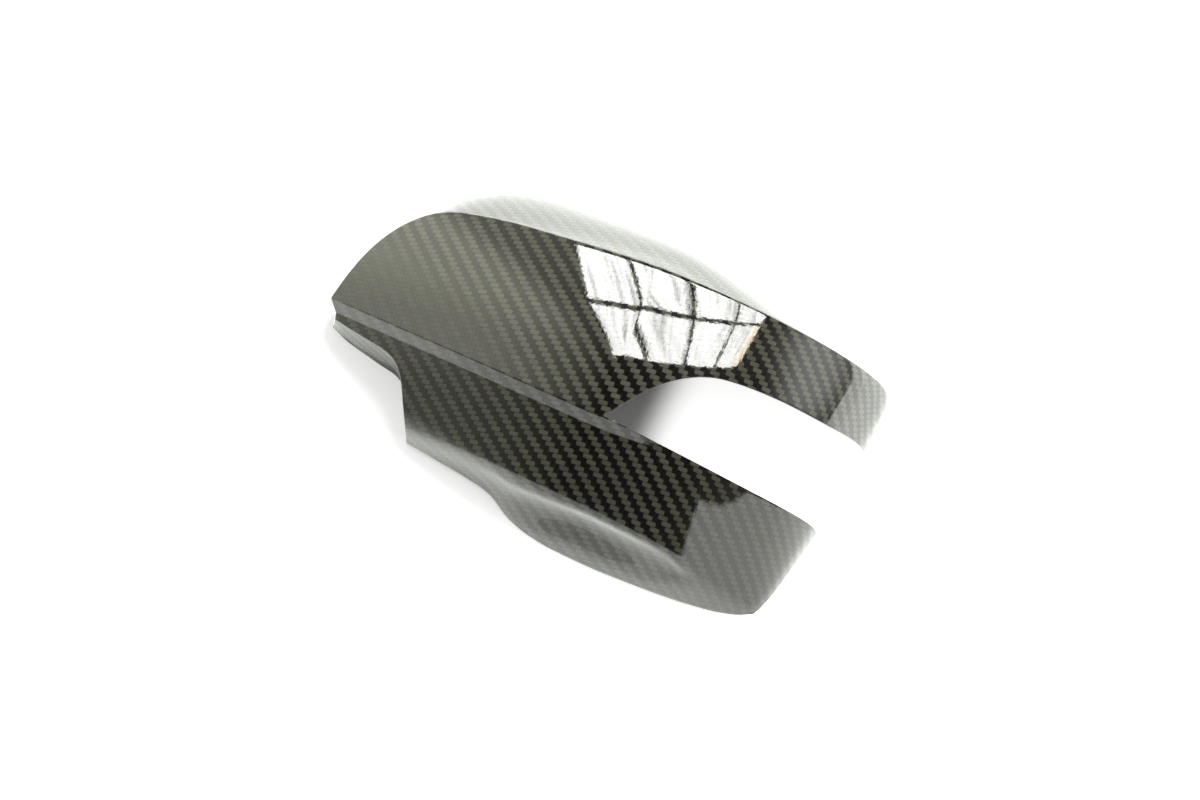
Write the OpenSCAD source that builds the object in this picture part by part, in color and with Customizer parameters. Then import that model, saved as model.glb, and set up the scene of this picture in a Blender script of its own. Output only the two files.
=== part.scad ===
// Carbon-fibre wing mirror cover, lying on its rim with the outer face up.
// +X runs outboard, +Y runs up the car (to the roof of the mirror), +Z points away from the rim plane.

/* [Shell] */
// Height of the crown above the rim plane
crown_height = 52; // [44:1:64]
// Distance from the crown to the inboard tip
inboard_reach = 129; // [116:1:143]
// Distance from the crown to the outboard rim, at the level of the ledge
outboard_reach = 100; // [90:1:112]
// How far the inboard tip lies below the crown
inboard_drop = 34; // [28:1:36]
// Thickness of the laminate
wall = 1.8; // [1.2:0.1:2.4]

/* [Upper panel] */
// Height of the upper panel, from the ledge to the roof edge
panel_height = 70; // [62:1:78]
// Lean of the panel where it meets the ledge
panel_lean_low = 11; // [6:1:14]
// Lean of the panel where it meets the roof edge
panel_lean_high = 16; // [12:1:22]

/* [Roof] */
// Width of the roof beyond the edge of the upper panel
roof_width = 34; // [28:1:40]
// Slope at which the roof leaves the edge of the upper panel
roof_slope = 33; // [28:1:42]

/* [Ledge] */
// Height of the step under the upper panel
ledge_depth = 4.8; // [3.5:0.1:6]
// Width of the step seen from the front
ledge_run = 3; // [2:0.1:4]
// Rise of the ledge towards the inboard tip
ledge_sweep = 9.7; // [6:0.1:14]
// Distance from the slot tip over which the ledge runs out
ledge_fade = 44; // [30:1:60]

/* [Indicator slot] */
// Distance from the crown to the tip of the slot
slot_tip = 3; // [-6:1:12]
// Height of the slot behind its shoulder
slot_height = 36.4; // [30:0.1:42]

/* [Lower panel] */
// Height of the lower panel, from the ledge to the fold
lower_height = 27; // [22:1:32]
// Lean of the lower panel under the ledge
lower_lean_top = 28; // [22:1:32]
// Lean of the lower panel at the fold
lower_lean_fold = 42; // [38:1:48]

/* [Foot notch] */
// Length of the notch that clears the mirror foot, from the inboard tip
notch_length = 36; // [28:1:44]
// Width of the strip left between the ledge and the notch
strip_width = 2.6; // [2.2:0.1:5]
// Outward lean of the notch wall at the rim
notch_lean = 3; // [2:0.1:5]
// Depth of the joggle that runs along the notch wall
joggle = 1.2; // [0.6:0.1:1.6]

/* [Underside] */
// Width of the underside seen from the front
under_width = 16; // [12:1:20]
// Depth of the hollow scoop in the underside
scoop_depth = 3; // [1:0.1:4]
// Height of the rim above the table beside the notch
rim_lift = 3; // [0:0.5:5]

/* [Hidden] */

// Stations along the shell: inboard tip to slot tip, slot tip to outboard rim
tip_station = 30;
arm_stations = 28;
last = tip_station + arm_stations;
// Rows of the upper panel, lower panel and side wall
panel_rows = 9;
lower_rows = 6;
side_rows = 8;

// Plan outline of the outboard rim: its reach grows towards the roof and bows outwards
rim_rake = 0.2;
rim_bow = 0.001;
// Rounding of the two corners where the outboard rim meets the roof and the underside
rim_round = 1.6;
roof_round_start = 65;
under_round_start = 28;
round_span = 10;
// Shape of the front along the length
inboard_power = 1.6;
outboard_power = 2.6;
outboard_round = 2 / 3;

function mix(a, b, t) = a + (b - a) * t;
function clamp01(t) = min(1, max(0, t));
function ease(t) = let (c = clamp01(t)) c * c * (3 - 2 * c);

// Smooth curve through a few points, by share of its length
function travelled(p) = [
    for (i = 0, s = 0; i < len(p); s = s + (i + 1 < len(p) ? norm(p[i + 1] - p[i]) : 0), i = i + 1) s
];
function heading(p, s, i) =
    i == 0 ? (p[1] - p[0]) / (s[1] - s[0])
    : i == len(p) - 1 ? (p[i] - p[i - 1]) / (s[i] - s[i - 1])
    : ((p[i] - p[i - 1]) / (s[i] - s[i - 1]) * (s[i + 1] - s[i])
        + (p[i + 1] - p[i]) / (s[i + 1] - s[i]) * (s[i] - s[i - 1])) / (s[i + 1] - s[i - 1]);
function on_curve(p, t) =
    let (
        s = travelled(p),
        goal = clamp01(t) * s[len(p) - 1],
        i = max([for (k = [0:len(p) - 2]) if (s[k] <= goal) k]),
        w = s[i + 1] - s[i],
        u = (goal - s[i]) / w,
        m0 = heading(p, s, i) * w,
        m1 = heading(p, s, i + 1) * w
    )
    (2 * pow(u, 3) - 3 * u * u + 1) * p[i] + (pow(u, 3) - 2 * u * u + u) * m0
    + (3 * u * u - 2 * pow(u, 3)) * p[i + 1] + (pow(u, 3) - u * u) * m1;

// A place on the front is [v, y]. v is the distance outboard as it is at the ledge; the true x
// follows the raked outline of the rim.
function past(y, start) = pow(clamp01((y - start) / round_span), 2);
function reach_at(y) = outboard_reach + rim_rake * y - rim_bow * y * y
    - rim_round * (past(y, roof_round_start) + past(-y, under_round_start));
function x_at(v, y, inset) = v <= 0 ? v : v * (reach_at(y) - inset) / outboard_reach;

function fall_outboard(v) = v <= 0 ? 1
    : pow(max(0, 1 - pow(v / outboard_reach, outboard_power)), outboard_round);
function fall_inboard(v) = v >= 0 ? 0 : inboard_drop * pow(-v / inboard_reach, inboard_power);
function arch(y) = tan(panel_lean_low) * y
    - (tan(panel_lean_low) + tan(panel_lean_high)) * y * y / (2 * panel_height);

// Line of the ledge: it sweeps up inboard, and dips and rises again beside the slot
ledge_power = 1.5;
ledge_dip = 11;
ledge_rise = 5.6;
function ledge_y(v) = v < 0 ? ledge_sweep * pow(-v / inboard_reach, ledge_power)
    : let (u = v / outboard_reach) -ledge_dip * u * u + (ledge_dip + ledge_rise) * u * u * u;
function ledge_share(v) = 1 - ease((v - slot_tip) / ledge_fade);
ledge_margin = 0.8;
function ledge_foot_y(v) = ledge_y(v) - ledge_run * ledge_share(v) - ledge_margin;

function upper_z(v, y, inset) =
    (crown_height - inset / cos(panel_lean_high) + arch(y)) * fall_outboard(v) - fall_inboard(v);
function lower_fall(e) = tan(lower_lean_top) * e
    + (tan(lower_lean_fold) - tan(lower_lean_top)) * e * e / (2 * lower_height);
lower_lean = (lower_lean_top + lower_lean_fold) / 2;
function lower_z(v, y, inset) =
    (crown_height - inset / cos(lower_lean) + arch(ledge_y(v)) - ledge_depth * ledge_share(v)
        - lower_fall(ledge_foot_y(v) - y)) * fall_outboard(v) - fall_inboard(v);

// Outlines as seen from the front: roof edge, slot, notch, fold and lower rim
roof_edge_points = [
    [-inboard_reach, ledge_sweep],
    [-inboard_reach + 2.5, panel_height - 46.5],
    [-inboard_reach + 7, panel_height - 31.5],
    [-inboard_reach + 13.5, panel_height - 19.7],
    [-inboard_reach + 21.5, panel_height - 11.3],
    [-inboard_reach + 31, panel_height - 6.2],
    [-inboard_reach + 46, panel_height - 4],
    [-40, panel_height - 2.6],
    [20, panel_height - 0.4],
    [60, panel_height + 0.6],
    [88, panel_height + 2.9],
    [95, panel_height + 3.4],
    [outboard_reach, panel_height + 1.6]
];
slot_points = [
    [slot_tip, ledge_y(slot_tip)],
    [slot_tip + 3.5, slot_height - 32],
    [slot_tip + 8, slot_height - 25],
    [slot_tip + 16, slot_height - 14.6],
    [slot_tip + 25, slot_height - 6.8],
    [slot_tip + 34, slot_height - 2.1],
    [slot_tip + 43, slot_height],
    [60, slot_height + 2.2],
    [80, slot_height + 5],
    [outboard_reach, slot_height + 9.6]
];
fold_y = -lower_height - 2.5;
strip_start = -inboard_reach + 4.7;
strip_end = [strip_start, ledge_foot_y(strip_start) - strip_width];
turn_start = -inboard_reach + notch_length;
notch_turn = [turn_start, ledge_foot_y(turn_start) - strip_width - 3.7];
notch_corner = [turn_start + 17.3, fold_y + 2.5];
notch_points = [
    strip_end,
    mix(strip_end, notch_turn, 0.4),
    mix(strip_end, notch_turn, 0.8) + [0, 0.2],
    notch_turn,
    notch_turn + [4.6, -2.4],
    notch_turn + [8.4, -6.6],
    mix(notch_turn + [8.4, -6.6], notch_corner, 0.5),
    notch_corner
];
fold_points = [
    notch_corner,
    mix(notch_corner, [-20, fold_y - 0.2], 0.45),
    [-20, fold_y - 0.2],
    [12, fold_y - 0.9],
    [40, fold_y - 2.1],
    [60, fold_y - 3],
    [80, fold_y - 4.6],
    [outboard_reach, fold_y - 5.8]
];
rim_y = fold_y - under_width;
rim_corner = notch_corner + [0.5, -4.4];
dip_start = [-39, fold_y - 6.1];
under_rim_points = [
    rim_corner,
    mix(rim_corner, dip_start, 0.42),
    dip_start,
    [-31, fold_y - 7.8],
    [-22, rim_y + 3],
    [-10, rim_y - 0.5],
    [14, rim_y - 2.2],
    [45, rim_y - 1.5],
    [72, rim_y + 0.5],
    [88, rim_y + 3.1],
    [96, rim_y + 5.7],
    [outboard_reach, rim_y + 8.2]
];

// Stations where the notch turns down and where it reaches the fold
turn_station = 9;
corner_station = 15;
// Shares of the roof edge, the fold and the lower rim that lie inboard of the slot tip
roof_split = 0.612;
fold_split = 0.44;
rim_split = 0.435;
function arm_share(i) = let (t = (i - tip_station) / arm_stations) 1 - pow(1 - t, 1.2);

function ledge_at(i) = let (
        v = i <= tip_station ? mix(-inboard_reach, slot_tip, i / tip_station)
            : mix(slot_tip, outboard_reach, arm_share(i))
    ) [v, ledge_y(v)];
function roof_edge_at(i) = on_curve(roof_edge_points,
    i <= tip_station ? roof_split * i / tip_station : mix(roof_split, 1, arm_share(i)));
function panel_foot_at(i) = i <= tip_station ? ledge_at(i) : on_curve(slot_points, arm_share(i));
// Under the inboard tip the foot of the ledge stands back a little from the stations above it
foot_back = 4;
foot_step = 3;
function ledge_foot_at(i) =
    let (v = max(ledge_at(i)[0], foot_back + foot_step * i - inboard_reach)) [v, ledge_foot_y(v)];
turn_share = norm(notch_turn - strip_end) / travelled(notch_points)[len(notch_points) - 1];
// Progress from the turn of the notch to its corner, and from there to the slot tip
function to_corner(i) = (i - turn_station) / (corner_station - turn_station);
function to_tip(i) = (i - corner_station) / (tip_station - corner_station);
function fold_at(i) =
    i <= turn_station ? on_curve(notch_points, turn_share * i / turn_station)
    : i <= corner_station ? on_curve(notch_points, mix(turn_share, 1, to_corner(i)))
    : i <= tip_station ? on_curve(fold_points, fold_split * to_tip(i))
    : on_curve(fold_points, mix(fold_split, 1, arm_share(i)));
function under_rim_at(i) = on_curve(under_rim_points,
    i <= tip_station ? rim_split * to_tip(i) : mix(rim_split, 1, arm_share(i)));

// How far a crease between two slopes moves inwards for a parallel skin
function crease_inset(lean, slope, inset) = inset * sin((lean + slope) / 2) / cos((slope - lean) / 2);
function turn_left(d) = [-d[1], d[0]] / norm(d);

// Roof: slope where it leaves the edge, and width, at each station
function soft(v, table) = let (spread = [-10:2:10]) mean([for (d = spread) lookup(v + d, table)]);
function mean(list) = list * [for (n = list) 1] / len(list);
function roof_start(i) = soft(roof_edge_at(i)[0], [
    [-inboard_reach, 66], [-inboard_reach + 16, 72], [-inboard_reach + 30, roof_slope + 2],
    [-inboard_reach + 60, roof_slope],
    [10, roof_slope], [50, roof_slope + 14], [80, roof_slope + 35], [outboard_reach, roof_slope + 42]
]);
function roof_out(i) = roof_width * soft(roof_edge_at(i)[0], [
    [-inboard_reach, 0.08], [-inboard_reach + 16, 0.11], [-inboard_reach + 30, 0.6],
    [-inboard_reach + 46, 0.88], [-inboard_reach + 70, 1], [-35, 1], [5, 0.93],
    [30, 0.72], [60, 0.4], [85, 0.15], [outboard_reach, 0.03]
]);
// Direction in which the roof leaves its edge; it swings parallel to the outboard rim at the end
swing_start = 60;
function roof_normal(i) =
    let (
        a = roof_edge_at(max(0, i - 0.5)),
        b = roof_edge_at(min(last, i + 0.5)),
        n = mix(turn_left(b - a), [0, 1], ease((a[0] - swing_start) / (outboard_reach - swing_start)))
    )
    n / norm(n);
function fold_normal(i) = let (
        a = fold_at(i == corner_station ? i : max(0, i - 0.5)),
        b = fold_at(i == corner_station ? i + 0.5 : min(last, i + 0.5))
    ) turn_left(b - a);

// The skin at any depth below the outer face
function roof_edge_in(i, inset) = roof_edge_at(i)
    - roof_normal(i) * crease_inset(panel_lean_high, roof_start(i), inset);
// Insets along the ledge, as shares of the thickness
tip_inset = 0.8;
ledge_top_inset = 0.55;
ledge_foot_inset = 0.7;
slot_edge_inset = 0.5;
arm_edge_inset = 0.1;
function panel_foot_in(i, inset) =
    panel_foot_at(i) + [i == 0 ? tip_inset * inset : 0, i <= tip_station ? ledge_top_inset * inset : 0];
function ledge_in(i, inset) = i <= tip_station ? panel_foot_in(i, inset)
    : ledge_at(i) + [0, inset * mix(arm_edge_inset, slot_edge_inset, ledge_share(ledge_at(i)[0]))];
function ledge_foot_in(i, inset) = ledge_foot_at(i) + inset * [
    i == 0 ? tip_inset : 0,
    mix(arm_edge_inset, ledge_foot_inset, ledge_share(ledge_at(i)[0]))
];
// Slope of the side wall where it leaves the fold: nearly upright along the notch
wall_slope = 84;
function past_corner(i) = (i - turn_station) / (corner_station - turn_station + 2);
// Along the underside it leaves at the lean of the lower panel, which flattens at the outboard rim
function fold_lean(i) = atan(tan(lower_lean_fold) * max(0.3, fall_outboard(fold_at(i)[0])));
function side_start(i) = mix(wall_slope, fold_lean(i), ease(past_corner(i)));
function fold_in(i, inset) = fold_at(i)
    + fold_normal(i) * crease_inset(lower_lean_fold, side_start(i), inset)
    + (i == 0 ? [tip_inset * inset, 0] : [0, 0]);

function panel_point(r, i, inset) =
    let (
        foot = panel_foot_in(i, inset),
        q = i == 0 ? foot : mix(roof_edge_in(i, inset), foot, r / panel_rows)
    )
    [x_at(q[0], q[1], inset), q[1], upper_z(q[0], q[1], inset)];

// Along the slot the step is cut back to the thickness of the laminate
function step_z(i, q, inset) =
    i <= tip_station ? upper_z(q[0], q[1], inset)
    : upper_z(q[0], ledge_y(q[0]), inset * mix(1, ledge_top_inset, ledge_share(q[0])));
function lower_point(r, i, inset) =
    let (
        q = r == 0 ? ledge_in(i, inset)
            : mix(ledge_foot_in(i, inset), fold_in(i, inset), (r - 1) / lower_rows)
    )
    [x_at(q[0], q[1], inset), q[1], r == 0 ? step_z(i, q, inset) : lower_z(q[0], q[1], inset)];

// Columns of the side wall: along the roof edge from the outboard end, round the inboard tip,
// and along the notch and the fold back to the outboard end
first_fold = last + lower_rows + 1;
side_last = first_fold + last;

function side_top(k, inset) =
    k <= last ? panel_point(0, last - k, inset)
    : k <= first_fold ? lower_point(k - last, 0, inset)
    : lower_point(lower_rows + 1, k - first_fold, inset);
function side_inward(k) =
    k <= last ? -roof_normal(last - k) : k <= first_fold ? [1, 0] : fold_normal(k - first_fold);
function side_slope(k) =
    k <= last ? roof_start(last - k) : k <= first_fold ? wall_slope : side_start(k - first_fold);
// Share of the width at which the wall has turned
notch_turn_share = 0.5;
under_turn_share = 0.35;
function side_turn(k) =
    k <= last ? 1 : mix(notch_turn_share, under_turn_share, ease(to_corner(k - first_fold)));

// The lean of the notch wall dies out on the way to its corner
function lean_at(i) = notch_lean * mix(1, 0.2, ease(past_corner(i + 3)));
function flat_point(q, inset, z) = [x_at(q[0], q[1], inset), q[1], z];
// Lean of the wall at the inboard tip, and the stretch over which the lower rim comes back down
tip_lean = 5;
lift_start = -35;
lift_run = 15;
function side_rim(k, inset) =
    k < last ? let (i = last - k, q = roof_edge_at(i) + roof_normal(i) * (roof_out(i) - inset))
        flat_point(q, inset, 0)
    : k <= first_fold ? let (
            above = roof_edge_at(0) + [inset - roof_out(0), 0.5 * inset],
            below = fold_at(0) + [inset - tip_lean, inset]
        ) flat_point(mix(above, below, (k - last) / (first_fold - last)), inset, 0)
    : let (i = k - first_fold)
        i < corner_station ? flat_point(fold_at(i) - fold_normal(i) * (lean_at(i) - inset), inset, 0)
        : let (
            q = under_rim_at(i) + fold_normal(i) * inset,
            lift = rim_lift * ease((i - corner_station + 1) / 2)
                * (1 - ease((q[0] - lift_start) / lift_run))
        ) flat_point(q, inset, lift);

// Joggle along the notch wall, and scoop in the underside, as shares of the wall's width
joggle_rows = [0, 0.15, 0.3, 0.45, 0.57, 0.62, 0.75, 0.88, 1];
joggle_place = 0.6;
joggle_run = 3;
scoop_start = -36;
scoop_end = 68;
scoop_top = [[-36, 0.5], [-15, 0.3], [10, 0.2], [50, 0.18], [68, 0.4]];
scoop_foot = [[-36, 0.95], [-10, 0.9], [12, 0.8], [50, 0.85], [68, 0.6]];
scoop_in = 0.9;
scoop_down = 0.4;
function joggle_share(k) =
    k <= last ? clamp01((k - last + joggle_run) / joggle_run) : 1 - clamp01(to_corner(k - first_fold));
function scoop_place(k) = k <= first_fold + corner_station ? scoop_start : fold_at(k - first_fold)[0];
function scoop_share(k) = let (u = (scoop_place(k) - scoop_start) / (scoop_end - scoop_start))
    u <= 0 || u >= 1 ? 0 : pow(sin(180 * u), 0.7);
function row_share(k, r) =
    let (
        even = r / side_rows,
        top = lookup(scoop_place(k), scoop_top),
        foot = lookup(scoop_place(k), scoop_foot),
        hollow = r <= 2 ? top * r / 2 : r <= 6 ? mix(top, foot, (r - 2) / 4) : mix(foot, 1, (r - 6) / 2)
    )
    even + (joggle_rows[r] - even) * joggle_share(k) + (hollow - even) * ease(3 * scoop_share(k));
function hollow_at(k, t) =
    let (
        top = lookup(scoop_place(k), scoop_top),
        foot = lookup(scoop_place(k), scoop_foot),
        u = (t - top) / (foot - top)
    )
    u <= 0 || u >= 1 ? 0 : scoop_depth * scoop_share(k) * sin(180 * u);

function side_point(r, k, inset) =
    let (
        a = side_top(k, inset),
        b = side_rim(k, inset),
        c = side_turn(k),
        h = norm([b[0] - a[0], b[1] - a[1]]),
        m = [mix(a[0], b[0], c), mix(a[1], b[1], c),
            max(a[2] - c * h * tan(side_slope(k)), mix(b[2], a[2], 0.2))],
        t = row_share(k, r),
        n = side_inward(k),
        step = t > joggle_place ? joggle * joggle_share(k) : 0,
        dent = hollow_at(k, t)
    )
    (1 - t) * (1 - t) * a + 2 * t * (1 - t) * m + t * t * b
    + [n[0] * (step + scoop_in * dent), n[1] * (step + scoop_in * dent), -scoop_down * dent];

// Outer and inner skin, and the edge of the laminate that joins them
function skin(inset) = concat(
    [for (r = [0:panel_rows], i = [0:last]) panel_point(r, i, inset)],
    [for (r = [0:lower_rows + 1], i = [0:last]) lower_point(r, i, inset)],
    [for (r = [0:side_rows], k = [0:side_last]) side_point(r, k, inset)]
);
columns = last + 1;
lower_first = (panel_rows + 1) * columns;
side_first = lower_first + (lower_rows + 2) * columns;
skin_size = side_first + (side_rows + 1) * (side_last + 1);
function panel_id(r, i) = i == 0 ? 0 : r * columns + i;
function lower_id(r, i) =
    r == 0 && i <= tip_station ? panel_id(panel_rows, i) : lower_first + r * columns + i;
function side_id(r, k) =
    r > 0 ? side_first + r * (side_last + 1) + k
    : k <= last ? panel_id(0, last - k)
    : k <= first_fold ? lower_id(k - last, 0)
    : lower_id(lower_rows + 1, k - first_fold);

function halves(a, b, c, d) = concat(
    a != b && b != c && a != c ? [[a, b, c]] : [],
    a != c && c != d && a != d ? [[a, c, d]] : []
);
outer_faces = [
    for (r = [0:panel_rows - 1], i = [0:last - 1])
        each halves(panel_id(r, i), panel_id(r, i + 1), panel_id(r + 1, i + 1), panel_id(r + 1, i)),
    for (r = [0:lower_rows], i = [0:last - 1])
        each halves(lower_id(r, i), lower_id(r, i + 1), lower_id(r + 1, i + 1), lower_id(r + 1, i)),
    for (r = [0:side_rows - 1])
        each halves(side_id(r, 1), side_id(r + 1, 1), side_id(r + 1, 0), side_id(r, 0)),
    for (r = [0:side_rows - 1], k = [1:side_last - 1])
        each halves(side_id(r, k), side_id(r, k + 1), side_id(r + 1, k + 1), side_id(r + 1, k))
];
inner_faces = [for (f = outer_faces) [f[2] + skin_size, f[1] + skin_size, f[0] + skin_size]];
// The edge of the laminate: rim, lower arm, slot, upper arm
edge = [
    for (k = [0:side_last]) side_id(side_rows, k),
    for (r = [side_rows - 1:-1:0]) side_id(r, side_last),
    for (r = [lower_rows:-1:0]) lower_id(r, last),
    for (i = [last - 1:-1:tip_station]) lower_id(0, i),
    for (i = [tip_station + 1:last]) panel_id(panel_rows, i),
    for (r = [panel_rows - 1:-1:0]) panel_id(r, last),
    for (r = [1:side_rows - 1]) side_id(r, 0)
];
edge_faces = [
    for (n = [0:len(edge) - 1]) let (a = edge[n], b = edge[(n + 1) % len(edge)])
        each halves(a, b, b + skin_size, a + skin_size)
];
outer = skin(0);
inner = skin(wall);
low = [for (axis = [0:1]) min([for (p = outer) p[axis]])];
high = [for (axis = [0:1]) max([for (p = outer) p[axis]])];
centre = (low + high) / 2;

module cover_shell() {
    color("#2b2c2c") translate([-centre[0], -centre[1], 0])
        polyhedron(
            points = concat(outer, inner),
            faces = concat(outer_faces, inner_faces, edge_faces),
            convexity = 8
        );
}

cover_shell();
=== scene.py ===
import math

import bpy
import numpy as np
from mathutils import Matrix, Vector


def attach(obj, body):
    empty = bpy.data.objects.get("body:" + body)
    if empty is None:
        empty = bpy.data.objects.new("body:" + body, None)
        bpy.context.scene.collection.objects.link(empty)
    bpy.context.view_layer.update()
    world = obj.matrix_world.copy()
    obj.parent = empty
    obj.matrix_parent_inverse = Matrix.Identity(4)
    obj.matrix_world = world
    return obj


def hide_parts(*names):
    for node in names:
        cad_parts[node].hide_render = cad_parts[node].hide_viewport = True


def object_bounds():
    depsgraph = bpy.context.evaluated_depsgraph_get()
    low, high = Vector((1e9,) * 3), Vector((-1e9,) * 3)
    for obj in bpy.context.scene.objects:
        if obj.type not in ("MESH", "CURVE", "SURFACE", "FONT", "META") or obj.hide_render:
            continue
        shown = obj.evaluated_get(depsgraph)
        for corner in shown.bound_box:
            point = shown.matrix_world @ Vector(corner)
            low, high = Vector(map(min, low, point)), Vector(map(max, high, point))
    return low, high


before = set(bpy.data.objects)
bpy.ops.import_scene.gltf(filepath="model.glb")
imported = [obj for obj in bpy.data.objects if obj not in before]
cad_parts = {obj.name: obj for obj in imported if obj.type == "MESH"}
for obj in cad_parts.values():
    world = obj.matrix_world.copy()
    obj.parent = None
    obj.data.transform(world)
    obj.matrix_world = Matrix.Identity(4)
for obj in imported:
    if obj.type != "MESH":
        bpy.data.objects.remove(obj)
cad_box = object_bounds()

MM = 0.001

# Sizes of the cover in millimetres, as they are in the solid
crown_height = 52
inboard_reach = 129
outboard_reach = 100
inboard_drop = 34
wall = 1.8
panel_height = 70
panel_lean_low = math.radians(11)
panel_lean_high = math.radians(16)
roof_width = 34
roof_slope = 33
ledge_depth = 4.8
ledge_run = 3
ledge_sweep = 9.7
ledge_fade = 44
slot_tip = 3
slot_height = 36.4
lower_height = 27
lower_lean_top = math.radians(28)
lower_lean_fold = math.radians(42)
notch_length = 36
strip_width = 2.6
notch_lean = 3
joggle = 1.2
under_width = 16
scoop_depth = 3
rim_lift = 3

# Stations along the shell: inboard tip, turn and corner of the notch, slot tip, outboard rim
turn_station = 9
corner_station = 15
tip_station = 30
last_station = 58
side_rows = 8
lower_rows = 6
first_fold = last_station + lower_rows + 1

rim_rake = 0.2
rim_bow = 0.001
rim_round = 1.6
roof_round_start = 65
under_round_start = 28
round_span = 10
inboard_power = 1.6
outboard_power = 2.6
outboard_round = 2 / 3
ledge_power = 1.5
ledge_dip = 11
ledge_rise = 5.6
ledge_margin = 0.8
lower_lean = (lower_lean_top + lower_lean_fold) / 2

# Distance from a crease to the loop that holds it, which sets the radius left there
crease_hold = 1.1
# Middle of the solid in these coordinates, and the gap kept to its box
shell_centre = (-11.2671, 26.7997)
hair = 2e-6


def mix(a, b, t):
    return a + (b - a) * t


def clamp01(t):
    return min(1.0, max(0.0, t))


def ease(t):
    c = clamp01(t)
    return c * c * (3 - 2 * c)


def vec(*values):
    return np.array(values, float)


class SmoothCurve:
    """A smooth curve through a few points, by share of its length."""

    def __init__(self, points):
        self.p = np.array(points, float)
        self.s = np.concatenate([[0], np.cumsum(np.linalg.norm(np.diff(self.p, axis=0), axis=1))])

    def heading(self, i):
        p, s = self.p, self.s
        if i == 0:
            return (p[1] - p[0]) / (s[1] - s[0])
        if i == len(p) - 1:
            return (p[i] - p[i - 1]) / (s[i] - s[i - 1])
        before, after = s[i] - s[i - 1], s[i + 1] - s[i]
        return ((p[i] - p[i - 1]) / before * after + (p[i + 1] - p[i]) / after * before) / (before + after)

    def at(self, share):
        goal = clamp01(share) * self.s[-1]
        i = max(k for k in range(len(self.p) - 1) if self.s[k] <= goal)
        w = self.s[i + 1] - self.s[i]
        u = (goal - self.s[i]) / w
        m0, m1 = self.heading(i) * w, self.heading(i + 1) * w
        return (
            (2 * u**3 - 3 * u * u + 1) * self.p[i]
            + (u**3 - 2 * u * u + u) * m0
            + (3 * u * u - 2 * u**3) * self.p[i + 1]
            + (u**3 - u * u) * m1
        )


def table(pairs):
    xs, ys = zip(*pairs)
    return lambda v: float(np.interp(v, xs, ys))


def soft(look, v, spread=10, step=2):
    """A table read over a short stretch, so that it has no corners."""
    reads = [look(v + d) for d in range(-spread, spread + 1, step)]
    return sum(reads) / len(reads)


# Front surface: a place on it is (v, y), where v is the distance outboard at the ledge
def past(y, start):
    return clamp01((y - start) / round_span) ** 2


def reach_at(y):
    corners = past(y, roof_round_start) + past(-y, under_round_start)
    return outboard_reach + rim_rake * y - rim_bow * y * y - rim_round * corners


def x_at(v, y, inset):
    return v if v <= 0 else v * (reach_at(y) - inset) / outboard_reach


def fall_outboard(v):
    return 1.0 if v <= 0 else max(0.0, 1 - (v / outboard_reach) ** outboard_power) ** outboard_round


def fall_inboard(v):
    return 0.0 if v >= 0 else inboard_drop * (-v / inboard_reach) ** inboard_power


def arch(y):
    low, high = math.tan(panel_lean_low), math.tan(panel_lean_high)
    return low * y - (low + high) * y * y / (2 * panel_height)


def ledge_y(v):
    if v < 0:
        return ledge_sweep * (-v / inboard_reach) ** ledge_power
    u = v / outboard_reach
    return -ledge_dip * u * u + (ledge_dip + ledge_rise) * u**3


def ledge_share(v):
    return 1 - ease((v - slot_tip) / ledge_fade)


def ledge_foot_y(v):
    return ledge_y(v) - ledge_run * ledge_share(v) - ledge_margin


def upper_z(v, y, inset):
    crown = crown_height - inset / math.cos(panel_lean_high) + arch(y)
    return crown * fall_outboard(v) - fall_inboard(v)


def lower_fall(e):
    top, fold = math.tan(lower_lean_top), math.tan(lower_lean_fold)
    return top * e + (fold - top) * e * e / (2 * lower_height)


def lower_z(v, y, inset):
    crown = crown_height - inset / math.cos(lower_lean) + arch(ledge_y(v)) - ledge_depth * ledge_share(v)
    return (crown - lower_fall(ledge_foot_y(v) - y)) * fall_outboard(v) - fall_inboard(v)


# Outlines as seen from the front
roof_edge = SmoothCurve([
    (-inboard_reach, ledge_sweep),
    (-inboard_reach + 2.5, panel_height - 46.5),
    (-inboard_reach + 7, panel_height - 31.5),
    (-inboard_reach + 13.5, panel_height - 19.7),
    (-inboard_reach + 21.5, panel_height - 11.3),
    (-inboard_reach + 31, panel_height - 6.2),
    (-inboard_reach + 46, panel_height - 4),
    (-40, panel_height - 2.6),
    (20, panel_height - 0.4),
    (60, panel_height + 0.6),
    (88, panel_height + 2.9),
    (95, panel_height + 3.4),
    (outboard_reach, panel_height + 1.6),
])
slot_edge = SmoothCurve([
    (slot_tip, ledge_y(slot_tip)),
    (slot_tip + 3.5, slot_height - 32),
    (slot_tip + 8, slot_height - 25),
    (slot_tip + 16, slot_height - 14.6),
    (slot_tip + 25, slot_height - 6.8),
    (slot_tip + 34, slot_height - 2.1),
    (slot_tip + 43, slot_height),
    (60, slot_height + 2.2),
    (80, slot_height + 5),
    (outboard_reach, slot_height + 9.6),
])
fold_y = -lower_height - 2.5
strip_start = -inboard_reach + 4.7
strip_end = vec(strip_start, ledge_foot_y(strip_start) - strip_width)
turn_start = -inboard_reach + notch_length
notch_turn = vec(turn_start, ledge_foot_y(turn_start) - strip_width - 3.7)
notch_corner = vec(turn_start + 17.3, fold_y + 2.5)
notch_bend = notch_turn + vec(8.4, -6.6)
notch = SmoothCurve([
    strip_end,
    mix(strip_end, notch_turn, 0.4),
    mix(strip_end, notch_turn, 0.8) + vec(0, 0.2),
    notch_turn,
    notch_turn + vec(4.6, -2.4),
    notch_bend,
    mix(notch_bend, notch_corner, 0.5),
    notch_corner,
])
fold_dip = vec(-20, fold_y - 0.2)
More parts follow.
